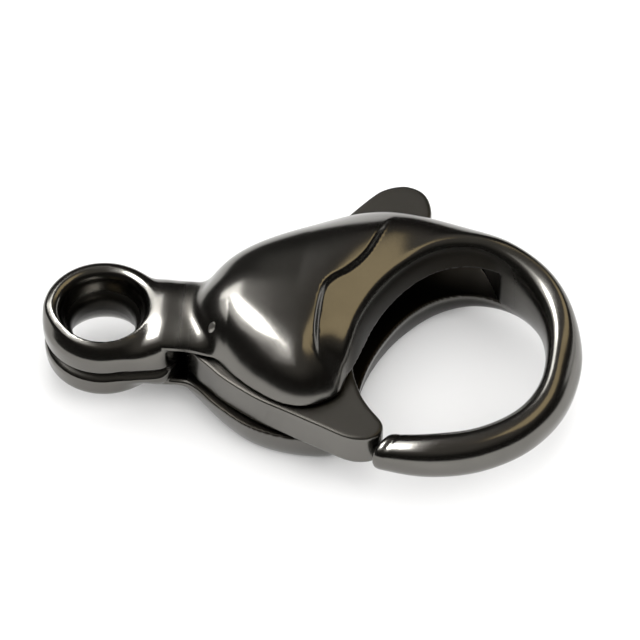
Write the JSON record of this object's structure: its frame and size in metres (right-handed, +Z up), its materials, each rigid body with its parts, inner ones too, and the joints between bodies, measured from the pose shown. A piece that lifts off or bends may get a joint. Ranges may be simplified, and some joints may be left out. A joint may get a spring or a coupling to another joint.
{
  "type": "lobster clasp",
  "caption": "Polished steel lobster clasp with an eye ring at one end, a round hook, and a sprung lever gate worked by a small thumb tab.",
  "frame": {"origin": "centre of the eye ring's bore, in the clasp's middle plane", "axes": "+X from the eye ring to the hook's bow, +Y towards the side with the thumb tab, +Z up out of the domed cheek"},
  "size_m": [0.0147, 0.0096, 0.0036],
  "materials": {
    "body_steel": "mirror polished, dark grey",
    "lever_steel": "polished, dark grey",
    "pin_steel": "polished"
  },
  "bodies": {
    "case": {"clasp_body": "body_steel", "pivot_pin": "pin_steel"},
    "gate": {"lever": "lever_steel"}
  },
  "joints": [
    {"name": "gate_swing", "type": "hinge", "parent": "case", "child": "gate", "pos_m": [0.00305, -0.0006, 0], "axis": [0, 0, 1], "range_deg": [0, 22], "stiffness_Nm_per_rad": 0.002, "springref_deg": -22.92}
  ]
}
